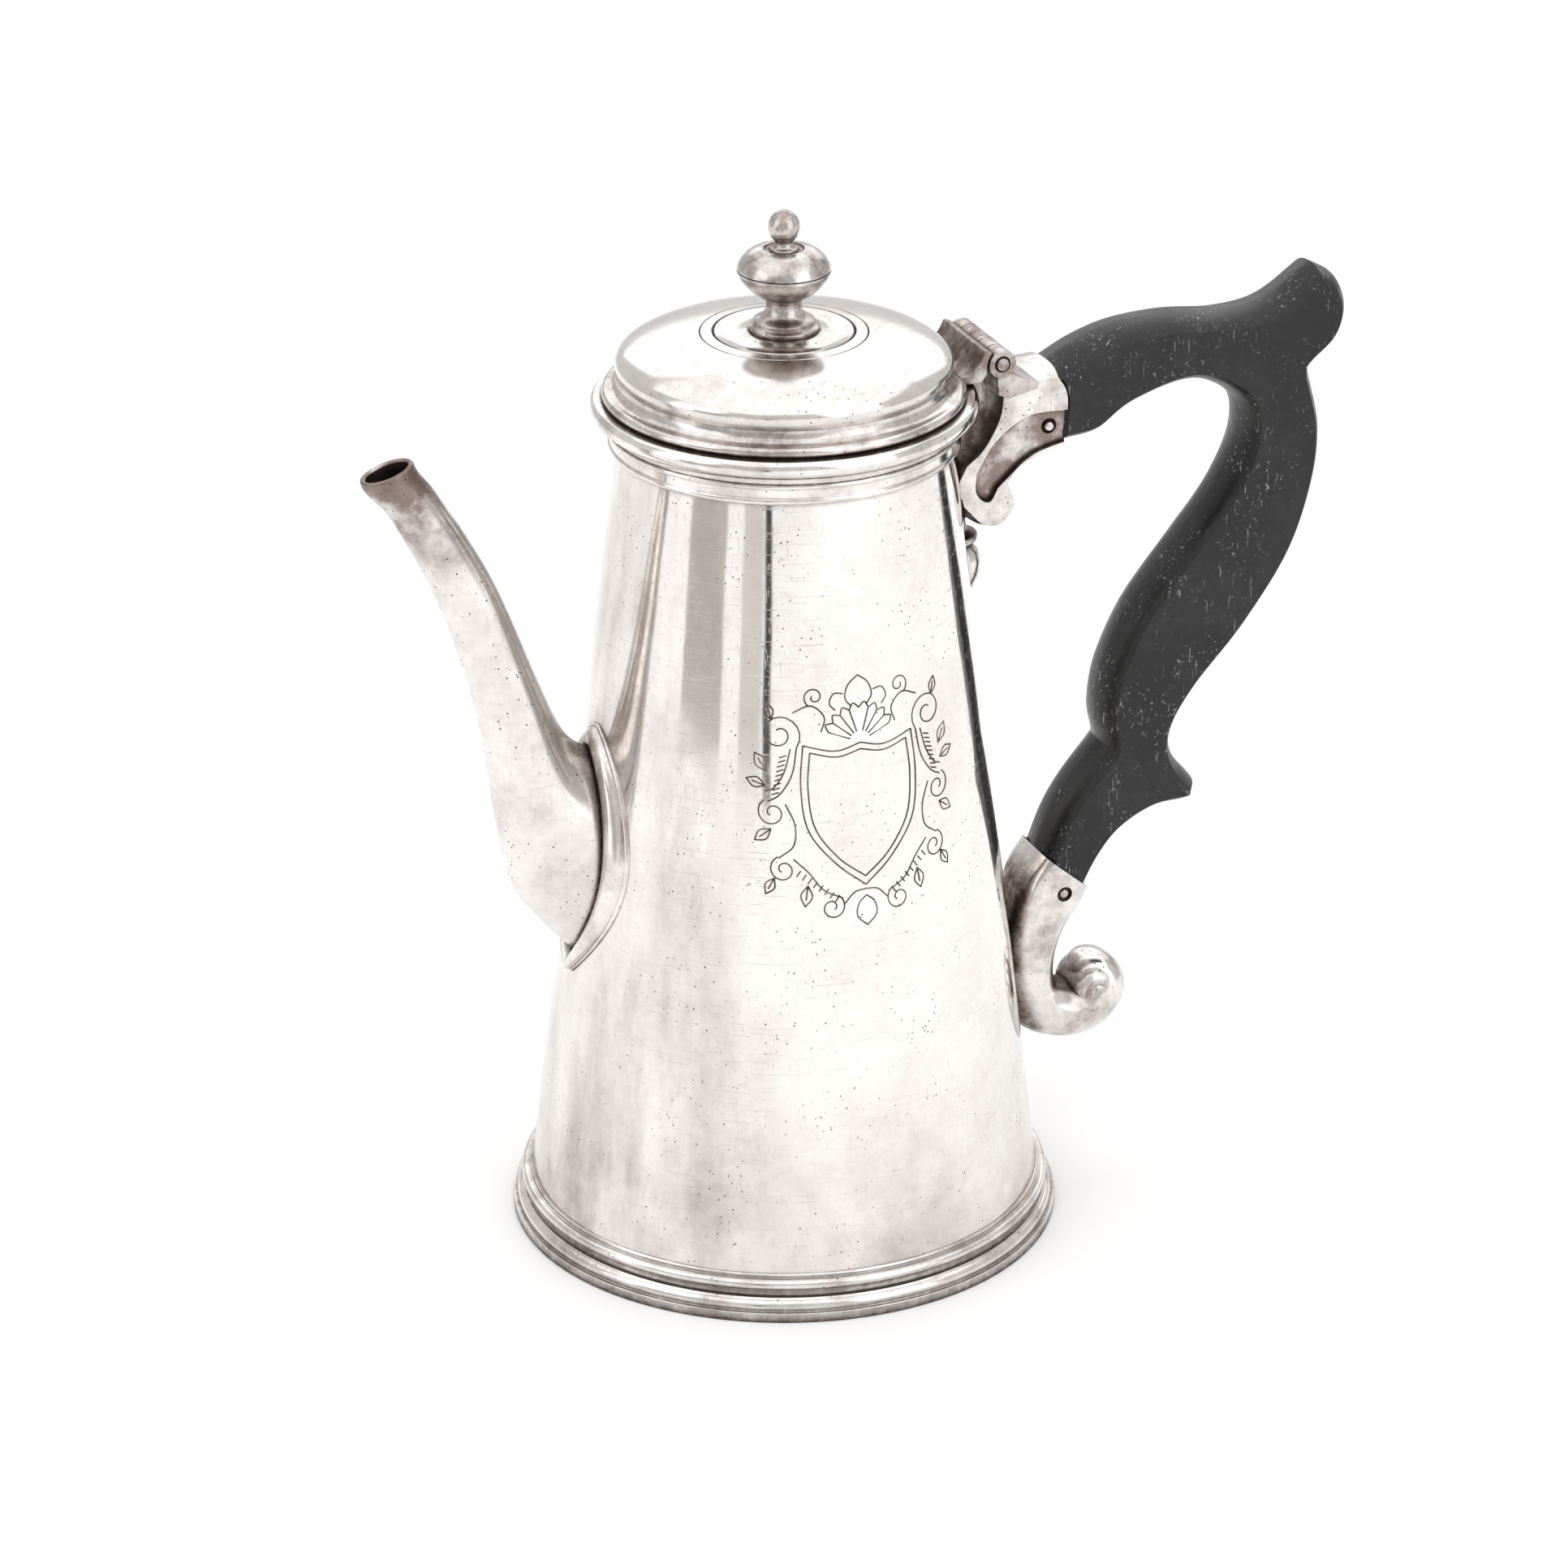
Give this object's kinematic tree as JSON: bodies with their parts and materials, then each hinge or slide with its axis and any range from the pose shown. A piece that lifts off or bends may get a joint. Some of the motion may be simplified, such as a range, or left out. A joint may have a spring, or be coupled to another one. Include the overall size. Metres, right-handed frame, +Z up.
{
  "type": "coffee pot",
  "caption": "Tall tapered metal coffee pot with a hinged domed lid, a ball finial, a curved spout and a wooden scroll handle held in two riveted sockets.",
  "frame": {"origin": "centre of the foot's resting plane, on the axis of the round body", "axes": "+Z up, +X towards the handle, -X towards the spout, +Y across the pot, square to the plane of the handle and the spout"},
  "size_m": [0.2235, 0.12, 0.2299],
  "materials": {
    "silver": "polished, lightly tarnished",
    "ebonised_wood": "satin, worn"
  },
  "bodies": {
    "pot": {"body_wall": "silver", "base_disc": "silver", "foot_ring": "silver", "mouth_moulding": "silver", "spout": "silver", "spout_collar": "silver", "upper_socket": "silver", "socket_drop": "silver", "lower_socket": "silver", "handle": "ebonised_wood", "upper_rivet": "silver", "lower_rivet": "silver", "body_hinge_leaf": "silver", "body_knuckle_1": "silver", "body_knuckle_2": "silver", "body_knuckle_3": "silver", "hinge_pin": "silver"},
    "lid": {"lid_bezel": "silver", "lid_dome": "silver", "lid_hinge_leaf": "silver", "lid_knuckle_1": "silver", "lid_knuckle_2": "silver", "finial_pedestal": "silver", "finial_knop_lower": "silver", "finial_knop_upper": "silver", "finial_ball": "silver"}
  },
  "joints": [
    {"name": "lid_hinge", "type": "hinge", "parent": "pot", "child": "lid", "pos_m": [0.0453, 0, 0.1931], "axis": [0, 1, 0], "range_deg": [0, 105]}
  ]
}
